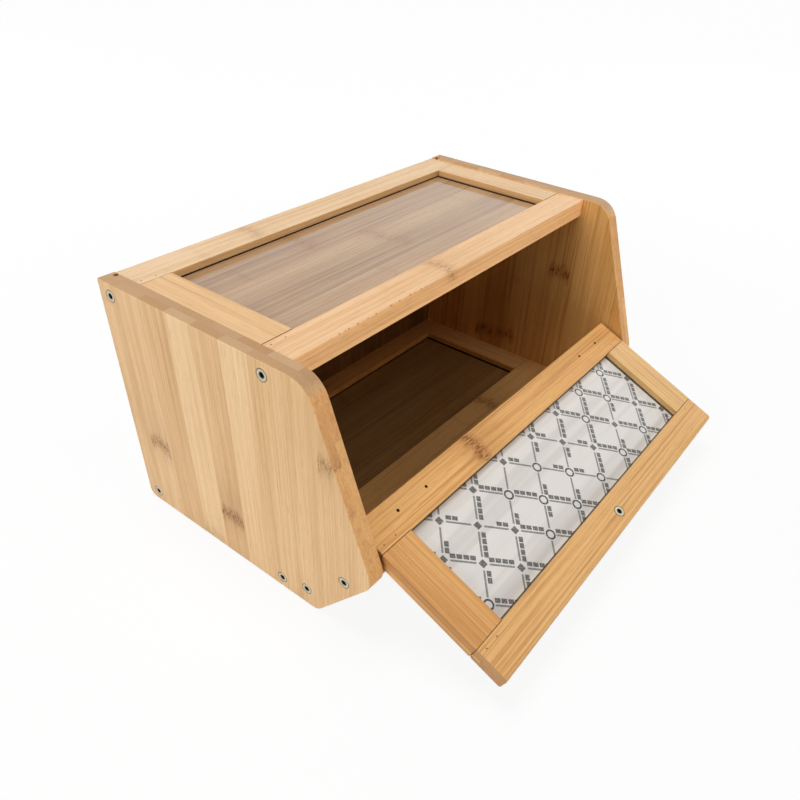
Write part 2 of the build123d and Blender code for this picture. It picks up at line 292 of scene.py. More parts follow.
LAYER_SHIFT = 0.37  # of a strip, from one layer's glue lines to the next one's
LAYER_TURN = 3  # how many tones further on the next layer starts
GRAIN_CONTRAST = 0.55
CLOUD_CONTRAST = 0.45
GLUE_STRENGTH = 0.22
END_GLUE_STRENGTH = 0.3
END_STRENGTH = 0.9
FAINT_SPACING = 0.31  # from one faint node of a strip to the next
FAINT_WIDTH = 6 * MM
NODE_WOBBLE = 14 * MM  # how far a clear node strays along the grain
NODE_BOW = 0.3  # how far a clear node's ends stand back, in half strips
BUMP_DEPTH = 0.4 * MM
WIDER_GAP = 1.4 * MM  # of the painted gap shade at a panel's right end, where the panel has slid the other way

# Noise: features in a metre along the grain and across it, then detail and roughness
FIBRES = (8, 820, 3.0, 0.62)
GRAIN = (3, 190, 2.0, 0.5)
CLOUDS = (7, 26, 2.0, 0.5)
PORES = (5, 480, 2.0, 0.55)
FLECKS = (70, 1500, 2.0, 0.6)
RAGGED = (260, 420, 2.0, 0.6)
WOBBLE = (25, 210, 2.0, 0.5)
DASHES = (230, 760, 2.0, 0.6)
BUNDLES = (700, 1000, 2.0, 0.6)

# The noise at which a mark is gone, and the noise at which it is full
PORE_LEVELS = (0.54, 0.68)
FLECK_LEVELS = (0.56, 0.68)
RAGGED_LEVELS = (0.35, 0.65)
SMEAR_LEVELS = (0.45, 0.62)
DASH_LEVELS = (0.44, 0.58)
BUNDLE_LEVELS = (0.45, 0.65)
CHIP_LEVELS = (0.52, 0.60)

# The length at which a mark is gone, and the length at which it is full
GLUE_EDGE = (0.45 * MM, 0.1 * MM)  # a glue line's width
GROOVE_EDGE = (1.8 * MM, 1.3 * MM)  # painted gap shade, from the frame that holds a panel
JOINT_EDGE = (0.7 * MM, 0.25 * MM)  # from the joint
CHIP_EDGE = (1.0 * MM, 0.6 * MM)  # from the rail's edge
MOUTH_EDGE = (1.6 * MM, 1.0 * MM)  # painted shade in a hole's mouth, from the hole's middle
MOUTH_DEPTH = (3 * MM, 2 * MM)

CHIPPED_STRETCH = (-0.150, -0.060)  # of the top front rail, along the box
CHIPPED_ENDS = 12 * MM
CHIPS_A_METRE = 240


class Wood:
    """What one cut of bamboo looks like; colours are those of lit wood."""

    tones = (0.5, 0.44, 0.6, 0.4, 0.56)  # of the strips, in turn
    strip_contrast = 0.5
    fibre_contrast = 1.0
    line_strength = 0.2
    fleck_strength = 0.3
    mark_strength = 0.18  # of the faint nodes
    edge_tint = (1, 1, 1)  # of faces cut along the board's edge
    inner_shade_tint = (1, 1, 1)  # painted shade: darkens the face away from the outer one, as the shade inside or under the box
    inner_lines = 0.0  # how much stronger lines are on that face
    coat = 0.05
    coat_roughness = 0.3

    def __init__(self, light, middle, dark, end, strip, layer, **others):
        self.light = light
        self.middle = middle
        self.dark = dark
        self.end = end  # colour of end grain
        self.strip = strip  # width of the strips that are glued side by side
        self.layer = layer  # a little over half the board, which has two layers
        for name, value in others.items():
            setattr(self, name, value)


class Board:
    """How a board lies: its grain, the way across its strips and the way its face looks.

    glue is the place of one glue line along the way across; without it the strips start at the
    board's low edge. tint multiplies the wood's colours. marks are the board's clear nodes, each
    as its place, half its width and its strength.
    """

    def __init__(self, node, grain, across, face, seed, glue=None, tint=(1, 1, 1), marks=()):
        self.node = node
        self.grain = grain
        self.across = across
        self.face = face
        self.seed = seed
        self.glue = reach(node, across)[0] if glue is None else glue
        self.core = sum(reach(node, face)) / 2
        self.tint = tint
        self.marks = marks


def streaks(tree, lengths, kind, along=None, through=None):
    """Noise stretched along the grain, shifted along it or through the board."""
    u, v, w = lengths
    coarse, fine, detail, roughness = kind
    x = u * coarse if along is None else u * coarse + along
    z = w * fine if through is None else w * fine + through
    return tree.noise(x, v * fine, z, detail, roughness)


def faint_nodes(tree, board, wood, lengths, strip, layer):
    """Faint nodes, evenly spaced along each strip from a random start."""
    start = tree.chance(strip, layer, board.seed + 7)
    off = (((lengths[0] / FAINT_SPACING + start).fraction()) - 0.5) * FAINT_SPACING
    ragged = streaks(tree, lengths, RAGGED)
    faint = (off + (ragged - 0.5) * (2 * FAINT_WIDTH)).bell(FAINT_WIDTH)
    faint = faint * ragged.step(*RAGGED_LEVELS)
    return faint * tree.chance(strip, layer, board.seed + 3) * wood.mark_strength


def clear_node(tree, board, wood, mark, lengths, fibre):
    """The clear trace of a culm's node across one strip.

    It is a ragged band, a little bowed, with a softer smear on the side that the grain points to
    and a weaker one on the other.
    """
    u, v, w = lengths
    place, half_width, strength = mark
    lines = fibre.step(*SMEAR_LEVELS)
    side = (v - place.dot(board.across)) / half_width
    inside = abs(side).step(1.05, 0.85)
    depth = abs(w - place.dot(board.face)).step(wood.layer, wood.layer * 0.9)
    wobble = (streaks(tree, lengths, WOBBLE) - 0.5) * NODE_WOBBLE
    rise = u - place.dot(board.grain) + side * side * (half_width * NODE_BOW) + wobble
    dashes = streaks(tree, lengths, DASHES).step(*DASH_LEVELS)
    band = rise.bell(11 * MM) * (0.3 + dashes * 0.5) + rise.bell(3 * MM) * dashes * 0.4
    smear = rise.step(-3 * MM, 6 * MM) * rise.step(55 * MM, 0.0) * (0.16 + lines * 0.45)
    below = rise.step(3 * MM, -6 * MM) * rise.step(-30 * MM, 0.0) * (0.08 + lines * 0.35)
    return (band + smear * 0.7 + below) * inside * depth * strength


def bamboo(board, wood, details=()):
    """Laminated bamboo strips along the grain.

    u, v and w are the lengths along the grain, across the strips and towards the board's face.
    Each strip of each layer has its own tone. Fibres are noise that is stretched along u. Clear
    nodes stand where the board's marks say, and faint ones fall at random. details are functions
    that take the tree, the place and the colour, and give the colour and a dull mask.
    """
    tree = new_finish(board.node)
    place = tree.place()
    lengths = [place.along(way) for way in (board.grain, board.across, board.face)]
    u, v, w = lengths
    normal = tree.normal()
    end_grain = abs(normal.along(board.grain)).step(*END_FACE)
    edge_face = abs(normal.along(board.across)).step(*EDGE_FACE) * (1 - end_grain)
    inner_face = normal.along(board.face).step(*INNER_FACE)

    # Strips and the glue between them
    layer = ((w - board.core) / wood.layer).floor()
    strips = (v - board.glue) / wood.strip + layer * LAYER_SHIFT
    strip = strips.floor()
    tone = tree.choose(strip + layer * LAYER_TURN + board.seed, wood.tones)
    from_glue = abs(strips - strip - 0.5) * -2 + 1
    glue_line = from_glue.step(*(width / wood.strip for width in GLUE_EDGE))

    # Fibres
    shift = tone * 9 + board.seed
    fibre = streaks(tree, lengths, FIBRES, along=shift)
    grain = streaks(tree, lengths, GRAIN, through=shift)
    cloud = streaks(tree, lengths, CLOUDS, through=shift)
    lines = streaks(tree, lengths, PORES, along=shift).step(*PORE_LEVELS)
    flecks = streaks(tree, lengths, FLECKS, along=shift).step(*FLECK_LEVELS)
    shade = (
        0.5
        + (tone - 0.5) * wood.strip_contrast
        + (fibre - 0.5) * wood.fibre_contrast
        + (grain - 0.5) * GRAIN_CONTRAST
        + (cloud - 0.5) * CLOUD_CONTRAST
    )
    ramp = [(0.0, wood.dark), (0.5, wood.middle), (1.0, wood.light)]
    colour = tree.node("ShaderNodeValToRGB", {"stops": ramp}, [shade])
    colour = tree.blend(flecks * wood.fleck_strength, colour, LINE_COLOUR)
    line_mask = lines * (wood.line_strength + inner_face * wood.inner_lines)
    colour = tree.blend(line_mask, colour, LINE_COLOUR)

    # A culm's nodes
    mark = faint_nodes(tree, board, wood, lengths, strip, layer)
    for clear in board.marks:
        mark = mark.most(clear_node(tree, board, wood, clear, lengths, fibre))
    colour = tree.blend(mark, colour, MARK_COLOUR)
    colour = tree.blend(glue_line * GLUE_STRENGTH, colour, MARK_COLOUR)
    colour = tree.blend(edge_face, colour, wood.edge_tint, "MULTIPLY")
    # Painted shade: the inner face is darkened, as it lies in the shade inside or under the box
    colour = tree.blend(inner_face, colour, wood.inner_shade_tint, "MULTIPLY")

    # End grain, where each fibre bundle is a dark dot
    bundles = streaks(tree, lengths, BUNDLES).step(*BUNDLE_LEVELS)
    end_shade = 0.15 + (0.62 - tone) * 1.6 + bundles * 0.4
    end_tone = tree.blend(end_shade, wood.end, tuple(c * k for c, k in zip(wood.end, END_DARK)))
    end_tone = tree.blend(glue_line * END_GLUE_STRENGTH, end_tone, MARK_COLOUR)
    colour = tree.blend(end_grain * END_STRENGTH, colour, end_tone)
    colour = tree.blend(1.0, colour, board.tint, "MULTIPLY")

    dull = end_grain * 0.6
    for detail in details:
        colour, mask = detail(tree, place, colour)
        dull = dull.most(mask)
    height = fibre * 0.6 + lines * -0.2 - glue_line * 0.4 - mark * 0.4
    bump = tree.node(
        "ShaderNodeBump", None, {"Strength": 0.3, "Distance": BUMP_DEPTH, "Height": height}
    )
    return tree.surface(
        Base_Color=colour,
        Roughness=0.5 + (fibre - 0.5) * 0.3 + dull * 0.2,
        Specular_IOR_Level=0.25,
        Coat_Weight=wood.coat * (1 - dull),
        Coat_Roughness=wood.coat_roughness,
        Normal=bump,
    )


def groove_gap_shade(level):
    """Painted shade in the gap between a thin panel and the frame that holds it."""
    left = reach(f"{level}_left_stile", RIGHT)[1]
    right = reach(f"{level}_right_stile", RIGHT)[0]
    rear = reach(f"{level}_rear_rail", FRONT)[1]
    front = reach(f"{level}_front_rail", FRONT)[0]

    def detail(tree, place, colour):
        x = place.along(RIGHT)
        y = place.along(FRONT)
        beside = (x - left).least(right - x - WIDER_GAP)
        inset = beside.least((y - rear).least(front - y))
        # Painted shade: the panel is darkened next to the frame, where the gap lies in shade
        gap_shade = inset.step(*GROOVE_EDGE)
        return tree.blend(gap_shade, colour, SHADE_AND_JOINT_COLOUR), gap_shade

    return detail


def chipped_edge(tree, place, colour):
    """Reddish chips in the lacquer, here and there along the top front rail's upper front edge."""
    front = reach("top_front_rail", FRONT)[1]
    top = reach("top_front_rail", UP)[1]
    x = place.along(RIGHT)
    depth = abs(place.along(FRONT) - front).most(abs(place.along(UP) - top))
    chips = tree.noise(x * CHIPS_A_METRE, 0.0, 0.0).step(*CHIP_LEVELS)
    mask = depth.step(*CHIP_EDGE) * chips * x.between(*CHIPPED_STRETCH, CHIPPED_ENDS)
    return tree.blend(mask * 0.65, colour, CHIP_COLOUR), mask


def brad_hole_shade(tree, place, colour):
    """Painted shade in the mouths of the four holes in the hinge rail, two towards each end."""
    outer = reach("pivot_lock_brads", RIGHT)[1] - LOCK_BRAD_RADIUS
    level = PIVOT.dot(DOOR_ALONG)
    centres = [(outer, level), (outer - LOCK_BRAD_SPACING, level)]
    radius = from_nearest(abs(place.along(RIGHT)), place.along(DOOR_ALONG), centres)
    face = reach("door_hinge_rail", DOOR_NORMAL)[1]
    near_face = (face - place.along(DOOR_NORMAL)).step(*MOUTH_DEPTH)
    # Painted shade: dark round each brad, as the hole's mouth lies in shade
    mouth_shade = radius.step(*MOUTH_EDGE) * near_face
    return tree.blend(mouth_shade * 0.9, colour, SHADE_AND_JOINT_COLOUR), mouth_shade


def joint_line(low, high, direction):
    """Dark lines across a stile where it meets its two rails."""

    def detail(tree, place, colour):
        y = place.along(direction)
        line = abs(y - low).least(abs(high - y)).step(*JOINT_EDGE)
        return tree.blend(line * 0.75, colour, SHADE_AND_JOINT_COLOUR), line

    return detail


# The side panels' strips, towards the front from the first glue line
SIDE_TONES = (0.50, 0.28, 0.74, 0.34, 0.66, 0.48, 0.42, 0.44, 0.40, 0.38)
side_wood = Wood(
    light=srgb(243, 211, 165),
    middle=srgb(226, 187, 137),
    dark=srgb(196, 148, 93),
    end=srgb(184, 149, 112),
    strip=26.2 * MM,
    layer=7.7 * MM,
    tones=SIDE_TONES,
    strip_contrast=0.75,
    edge_tint=(0.96, 0.77, 0.54),
    # Painted shade: the side panels' inner faces are darker, as in the shade inside the box
    inner_shade_tint=(0.92, 0.76, 0.47),
    inner_lines=0.45,
)
rail_wood = Wood(
    light=srgb(242, 208, 164),
    middle=srgb(228, 188, 140),
    dark=srgb(198, 148, 94),
    end=srgb(196, 152, 104),
    strip=31 * MM,
    layer=8.2 * MM,
    strip_contrast=0.3,
    edge_tint=(1.16, 1.03, 0.80),
)
door_wood = Wood(
    light=srgb(234, 191, 130),
    middle=srgb(218, 167, 106),
    dark=srgb(174, 114, 56),
    end=srgb(190, 144, 98),
    strip=31 * MM,
    layer=8.2 * MM,
    strip_contrast=0.3,
    fibre_contrast=1.1,
    line_strength=0.5,
    edge_tint=(1.05, 1.08, 1.08),
)
panel_wood = Wood(
    light=srgb(196, 164, 126),
    middle=srgb(170, 138, 104),
    dark=srgb(124, 94, 70),
    end=srgb(150, 115, 80),
    strip=25.5 * MM,
    layer=2.0 * MM,
    tones=(0.72, 0.32, 0.70, 0.5, 0.4, 0.34),
    strip_contrast=0.6,
    fibre_contrast=1.5,
    line_strength=0.4,
    fleck_strength=0.6,
    mark_strength=0.5,
    # Painted shade: the panels' inner faces are much darker, as in the shade inside or under the
    # box
    inner_shade_tint=(0.58, 0.52, 0.38),
    coat=1.0,
    coat_roughness=0.08,
)
knob_wood = Wood(
    light=srgb(234, 191, 130),
    middle=srgb(218, 167, 106),
    dark=srgb(174, 114, 56),
    end=srgb(206, 158, 104),
    strip=30 * MM,
    layer=8.2 * MM,
)


# Other finishes -----------------------------------------------------------------------------------

NICKEL = srgb(214, 208, 186)
DULL_NICKEL = srgb(182, 175, 150)
# Painted shade on a screw head: a shadow round the rim, shade at the throat, black in the socket
RIM_SHADOW = srgb(84, 74, 58)
THROAT_SHADE = srgb(96, 90, 76)
SOCKET_SHADE = srgb(20, 18, 15)
SCRATCHES_A_METRE = 900
TARNISH_A_METRE = 700

# The length at which a screw's painted shade is gone, and the length at which it is full
RIM_EDGE = (3.7 * MM, 4.3 * MM)  # from the head's middle
THROAT_EDGE = (2.9 * MM, 2.4 * MM)  # from the head's middle
SOCKET_DEPTH = (0.35 * MM, 0.9 * MM)


def nickel(name, centres, across, up, depth):
    """Plated steel: a bright head with a painted shadow round its rim, painted shade at its throat,
    and painted black shade down in the socket.

    centres are the heads' places along two directions of their face, and depth gives how far
    below the head a place is.
    """
    tree = new_finish(name)
    place = tree.place()
    x, y = place.along(across), place.along(up)
    radius = from_nearest(x, y, centres)
    scratch = tree.noise(*(way * SCRATCHES_A_METRE for way in (x, y, place.along(RIGHT))), 3.0)
    in_socket = depth(place).step(*SOCKET_DEPTH)
    colour = tree.blend(scratch.step(0.35, 0.75), NICKEL, DULL_NICKEL)
    # Painted shadow round the head's rim, then painted shade at its throat and down in the socket
    colour = tree.blend(radius.step(*RIM_EDGE) * 0.85, colour, RIM_SHADOW)
    colour = tree.blend(radius.step(*THROAT_EDGE) * 0.6, colour, THROAT_SHADE)
    colour = tree.blend(in_socket, colour, SOCKET_SHADE)
    return tree.surface(
        Base_Color=colour,
        Metallic=1 - in_socket * 0.8,
        Roughness=0.26 + scratch * 0.2 + in_socket * 0.3,
    )


def plain_steel(name, colour, roughness):
    """Bare steel with a little tarnish."""
    tree = new_finish(name)
    place = tree.place()
    tarnish = tree.noise(*(place.along(way) * TARNISH_A_METRE for way in (RIGHT, FRONT, UP)), 3.0)
    darker = tuple(c * 0.45 for c in colour)
    return tree.surface(
        Base_Color=tree.blend(tarnish.step(0.4, 0.75), colour, darker),
        Metallic=0.9,
        Roughness=roughness + (tarnish - 0.5) * 0.2,
    )


def clear_plastic(name):
    """A clear pane with a very faint tint and polish marks."""
    tree = new_finish(name)
    place = tree.place()
    haze = tree.noise(place.along(RIGHT) * 60, place.along(DOOR_ALONG) * 60, 0.0, 3.0)
    return tree.surface(
        Base_Color=(*srgb(246, 250, 249), 1),
        Roughness=0.02 + haze * 0.03,
        IOR=1.49,
        Transmission_Weight=1.0,
    )


# The window's film --------------------------------------------------------------------------------

# The film's milky colour, with painted sheen bands that go between these two
FILM_SHADED_BAND = srgb(212, 208, 202)
FILM_MILK = srgb(225, 221, 215)
INK = srgb(36, 35, 35)
RIPPLE = 0.05 * MM
RIPPLE_FADE = 5 * MM
FILM_POINTS = (181, 91)  # along the box, and across the film

# The print: a lattice of slanting lines, with a ring or a lozenge at each crossing
LATTICE = 30 * MM  # from one line to the next
RING_RADIUS = 3.5 * MM
RING_SHARE = 0.55  # of the crossings
BAR_ENDS = (5.2 * MM, 14.4 * MM)  # from the crossing
BAR_BREAK = 9.8 * MM
BAR_OFFSET = 3.6 * MM  # from the line that the bar stands beside
BAR_SHARE = 0.85  # of the places where a bar may be

# The length at which the print or the painted gap shade is gone, and the length at which it is full
LINE_START = (4.8 * MM, 5.4 * MM)  # from the crossing
LINE_EDGE = (0.95 * MM, 0.65 * MM)  # from the line's middle
RING_EDGE = (0.9 * MM, 0.6 * MM)  # from the ring's middle
LOZENGE_EDGE = (3.8 * MM, 3.3 * MM)  # from the crossing
BAR_EDGE = (1.9 * MM, 1.6 * MM)  # from the bar's middle
BREAK_EDGE = (0.2 * MM, 0.5 * MM)  # from the break's middle
FILM_GAP_EDGE = (1.3 * MM, 0.8 * MM)  # painted gap shade, from the door's frame


def film_finish(opening):
    """Thin milky film with faint painted sheen bands along it, painted gap shade at the door's
    frame, and a plain lattice of lines, bars and rings.
    """
    low_x, high_x, low_t, high_t = opening
    tree = new_finish("window_film")
    place = tree.place()
    x = place.along(RIGHT)
    t = place.along(DOOR_ALONG)
    worn = tree.noise(x * 800, t * 800, 3.0, 3.0, 0.7).step(0.30, 0.52)
    ink = lattice(tree, x, t) * (0.55 + worn * 0.45)
    # Painted sheen: pale and darker bands along the film that stand in for its ripples' glossy
    # shading
    sheen_bands = tree.noise(x * 4, t * 130, 0.5)
    milk_and_sheen = tree.blend(sheen_bands.step(0.36, 0.62), FILM_SHADED_BAND, FILM_MILK)
    colour = tree.blend(ink, milk_and_sheen, INK)
    beside = (x - low_x).least(high_x - x - WIDER_GAP)
    inset = beside.least((t - low_t).least(high_t - t))
    # Painted shade: the film darkens next to the door's frame, where the gap lies in shade
    gap_shade = inset.step(*FILM_GAP_EDGE)
    colour = tree.blend(gap_shade * 0.9, colour, SHADE_AND_JOINT_COLOUR)
    return tree.surface(
        Base_Color=colour,
        Roughness=0.32 + (sheen_bands - 0.5) * 0.15,
        Alpha=(0.92 + ink * 0.08).most(gap_shade),
    )


def lattice(tree, x, t):
    """Lines along both slants, with a ring or a lozenge at each crossing and bars beside them."""
    run = (x + t) * (0.5**0.5)
    rise = (x - t) * (0.5**0.5)
    column = (run / LATTICE + 0.5).floor()
    row = (rise / LATTICE + 0.5).floor()
    from_column = run - column * LATTICE
    from_row = rise - row * LATTICE
    radius = (from_column**2.0 + from_row**2.0) ** 0.5
    line = abs(from_column).least(abs(from_row)).step(*LINE_EDGE) * radius.step(*LINE_START)
    ring_here = tree.chance(column, row, 4.0) > 1 - RING_SHARE
    ring = abs(radius - RING_RADIUS).step(*RING_EDGE)
    lozenge = (abs(from_column) + abs(from_row)).step(*LOZENGE_EDGE)
    ink = (line * 0.75).most(ring * ring_here).most(lozenge * (1 - ring_here) * 0.9)
    for along, beside, seed in ((from_column, from_row, 1.0), (from_row, from_column, 2.0)):
        length = abs(along).between(*BAR_ENDS, 0.3 * MM)
        notch = abs(abs(along) - BAR_BREAK).step(*BREAK_EDGE)
        width = abs(beside - BAR_OFFSET).step(*BAR_EDGE)
        wanted = tree.chance(column, row, seed) > 1 - BAR_SHARE
        ink = ink.most(length * notch * width * wanted * 0.9)
    return ink


def closed_sheet(name, top, bottom):
    """A mesh between two grids of points of the same shape, closed by a rim around them."""
    index = np.arange(top.shape[0] * top.shape[1]).reshape(top.shape[:2])
    faces = np.stack([index[:-1, :-1], index[:-1, 1:], index[1:, 1:], index[1:, :-1]], -1)
    upper = faces.reshape(-1, 4)
    lower = upper[:, ::-1] + index.size
    loop = np.concatenate([index[:-1, 0], index[-1, :-1], index[:0:-1, -1], index[0, :0:-1]])
    after = np.roll(loop, -1)
    rim = np.stack([loop, after, after + index.size, loop + index.size], -1)
    points = np.concatenate([top.reshape(-1, 3), bottom.reshape(-1, 3)])
    mesh = bpy.data.meshes.new(name)
    mesh.from_pydata(points.tolist(), [], np.concatenate([upper, lower, rim]).tolist())
    mesh.polygons.foreach_set("use_smooth", [True] * (2 * len(upper)) + [False] * len(rim))
    piece = bpy.data.objects.new(name, mesh)
    bpy.context.scene.collection.objects.link(piece)
    return piece


def add_film():
    """The protective film, which lies on the pane in shallow ripples.

    Over the pane's length x and width t its height is its thickness plus ripple * edge. ripple is
    a sum of sine waves across t, bent slowly along x. edge falls from 1 inside the opening to 0 at
    the frame, so that the film is flat in the frame's grooves.
    """
    low_x, high_x = reach("door_left_stile", RIGHT)[1], reach("door_right_stile", RIGHT)[0]
    low_t = reach("door_hinge_rail", DOOR_ALONG)[1]
    high_t = reach("door_top_rail", DOOR_ALONG)[0]
    ends_x, ends_t = reach("window_film", RIGHT), reach("window_film", DOOR_ALONG)
    base, top = reach("window_film", DOOR_NORMAL)
    x = np.linspace(*ends_x, FILM_POINTS[0])[:, None]
    t = np.linspace(*ends_t, FILM_POINTS[1])[None, :]
    bend = 0.6 * np.sin(x * 21) + 0.3 * np.sin(x * 47 + 1)
    ripple = 0.5 + 0.3 * np.sin(t * 700 + bend) + 0.2 * np.sin(t * 1130 - 1.7 * bend)
    inset = np.minimum(np.minimum(x - low_x, high_x - x), np.minimum(t - low_t, high_t - t))
    edge = np.clip(inset / RIPPLE_FADE, 0, 1) ** 2
    height = top + RIPPLE * ripple * edge
    right, along, normal = (np.array(way) for way in (RIGHT, DOOR_ALONG, DOOR_NORMAL))
    flat = x[..., None] * right + t[..., None] * along
    film = closed_sheet("film", flat + height[..., None] * normal, flat + base * normal)
    film.data.materials.append(film_finish((low_x, high_x, low_t, high_t)))
    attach(film, "door")
    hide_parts("window_film")


# Camera -------------------------------------------------------------------------------------------

SENSOR = 36.0
PIXELS = 800
FOCAL_PIXELS = 701.6
PRINCIPAL_X, PRINCIPAL_Y = 412.8, 445.3  # the picture's optical centre
CAMERA_PLACE = Vector((-0.4261, -0.26675, 0.4186))
CAMERA_AZIMUTH = radians(54.05)  # of the view, from +Y towards +X
CAMERA_DROP = radians(38.55)  # of the view below the horizontal
CAMERA_ROLL = radians(2.95)


def add_camera():
    """The photograph's viewpoint and frame, 800 x 800."""
    data = bpy.data.cameras.new("camera")
    data.sensor_width = SENSOR
    data.lens = SENSOR * FOCAL_PIXELS / PIXELS
    data.shift_x = 0.5 - PRINCIPAL_X / PIXELS
    data.shift_y = PRINCIPAL_Y / PIXELS - 0.5
    data.clip_start = 0.01
    camera = bpy.data.objects.new("camera", data)
    bpy.context.scene.collection.objects.link(camera)
    turn = (
        Matrix.Rotation(-CAMERA_AZIMUTH, 4, "Z")
        @ Matrix.Rotation(radians(90) - CAMERA_DROP, 4, "X")
        @ Matrix.Rotation(CAMERA_ROLL, 4, "Z")
    )
    camera.matrix_world = Matrix.Translation(CAMERA_PLACE) @ turn
    bpy.context.scene.camera = camera


# Light and floor ----------------------------------------------------------------------------------

SKY_STRENGTH = 0.04
LAMPS = (  # name, place, width, watts
    ("overhead", (-0.2, 0.45, 2.2), 1.2, 31),
    ("left", (-2.2, 0.1, 0.9), 1.4, 25.5),
    ("right", (2.2, 0.1, 0.9), 1.4, 12),
    ("back", (0.2, 2.4, 0.9), 1.4, 14),
    ("front", (0.3, -2.4, 0.2), 0.9, 27.5),
    ("front_high", (0.3, -1.2, 2.0), 0.9, 5.5),
)
FLOOR_HALF = 30.0
FLOOR_FADE = (0.3, 0.9)  # the floor grows whiter between these distances from the middle
WHITE_NEAR, WHITE_FAR = 0.90, 0.985
FLOOR_COLOUR = (0.86, 0.86, 0.86, 1)
WHITE = (1, 1, 1, 1)


def seen_directly(tree):
    """1 for rays from the camera, from gloss and through glass, which see the white backdrop."""
    camera_ray, glossy_ray, clear_ray = (
        tree.node("ShaderNodeLightPath", output=f"Is {kind} Ray")
        for kind in ("Camera", "Glossy", "Transmission")
    )
    return camera_ray.most(glossy_ray).most(clear_ray)


def add_world():
    """An even pale sky; only what is seen directly is white."""
    world = bpy.data.worlds.new("studio")
    bpy.context.scene.world = world
    tree = Finish(world)
    direct = seen_directly(tree)
    level = direct + (1 - direct) * SKY_STRENGTH
    sky = tree.node("ShaderNodeBackground", None, {"Color": WHITE, "Strength": level})
    tree.end(sky, "ShaderNodeOutputWorld")


def add_lamp(name, place, width, watts):
    """A round soft lamp that points at the middle of the box."""
    data = bpy.data.lights.new(name, "AREA")
    data.shape = "DISK"
    data.size = width
    data.energy = watts
    lamp = bpy.data.objects.new(name, data)
    lamp.location = place
    aim = (cad_low + cad_high) / 2 - Vector(place)
    lamp.rotation_euler = aim.to_track_quat("-Z", "Y").to_euler()
    bpy.context.scene.collection.objects.link(lamp)


def add_floor():
    """A pale floor that looks white but keeps a faint shadow under and around the box."""
    mesh = bpy.data.meshes.new("floor")
    corners = [(-1, -1), (1, -1), (1, 1), (-1, 1)]
    points = [(x * FLOOR_HALF, y * FLOOR_HALF, 0) for x, y in corners]
    mesh.from_pydata(points, [], [(0, 1, 2, 3)])
    floor = bpy.data.objects.new("floor", mesh)
    bpy.context.scene.collection.objects.link(floor)
    tree = new_finish("floor")
    place = tree.place()
    distance = from_nearest(place.along(RIGHT), place.along(FRONT), [(0, 0)])
    white = WHITE_NEAR + distance.step(*FLOOR_FADE) * (WHITE_FAR - WHITE_NEAR)
    lit = tree.node("ShaderNodeBsdfDiffuse", None, {"Color": FLOOR_COLOUR})
    glow = tree.node("ShaderNodeEmission", None, {"Color": WHITE, "Strength": 1.0})
    share = seen_directly(tree) * white
    mesh.materials.append(tree.end(tree.node("ShaderNodeMixShader", None, [share, lit, glow])))


# Pieces -------------------------------------------------------------------------------------------

CASE_REAR = reach("left_side_panel", FRONT)[0]
HALF_STRIP = 12.6 * MM
HALF_PANEL_STRIP = 18 * MM
HALF_RAIL = 14.0 * MM
FLOOR_FRAME_LIGHT_TINT = (1.12, 1.10, 0.84)  # of the frame round the box's own floor: painted light, making it brighter and more orange as if lit through the opening


def dress(node, material):
    """Gives a piece its finish."""
    mesh = frame["nodes"][node].data
    mesh.materials.clear()
    mesh.materials.append(material)


def dress_boards(wood, boards, details=()):
    for board in boards:
        dress(board.node, bamboo(board, wood, details))


def clear_mark(x, depth, z, half_width, strength):
    """A clear node at x and z and at a depth from the case's rear, in metres."""
    return Vector((x, -CASE_REAR - depth, z)), half_width, strength


def dress_sides():
    left_face = reach("left_side_panel", RIGHT)[0]
    right_face = reach("right_side_panel", RIGHT)[0]  # the inner one
    first_glue = CASE_REAR + 20 * MM
    left_marks = (
        clear_mark(left_face, 32.5 * MM, 72 * MM, HALF_STRIP, 0.8),
        clear_mark(left_face, 111.5 * MM, 43 * MM, HALF_STRIP, 1.0),
        clear_mark(left_face, 212 * MM, 147 * MM, 7 * MM, 0.7),
        clear_mark(left_face, 85 * MM, 5 * MM, HALF_STRIP, 0.35),
    )
    right_marks = (
        clear_mark(right_face, 164 * MM, 126 * MM, HALF_STRIP, 1.0),
        clear_mark(right_face, 86 * MM, 32 * MM, HALF_STRIP, 0.8),
        clear_mark(right_face, 112 * MM, 36 * MM, HALF_STRIP, 0.7),
    )
    left = Board("left_side_panel", UP, FRONT, -RIGHT, 0, glue=first_glue, marks=left_marks)
    right = Board("right_side_panel", UP, FRONT, RIGHT, 4, glue=first_glue, marks=right_marks)
    dress_boards(side_wood, (left, right))


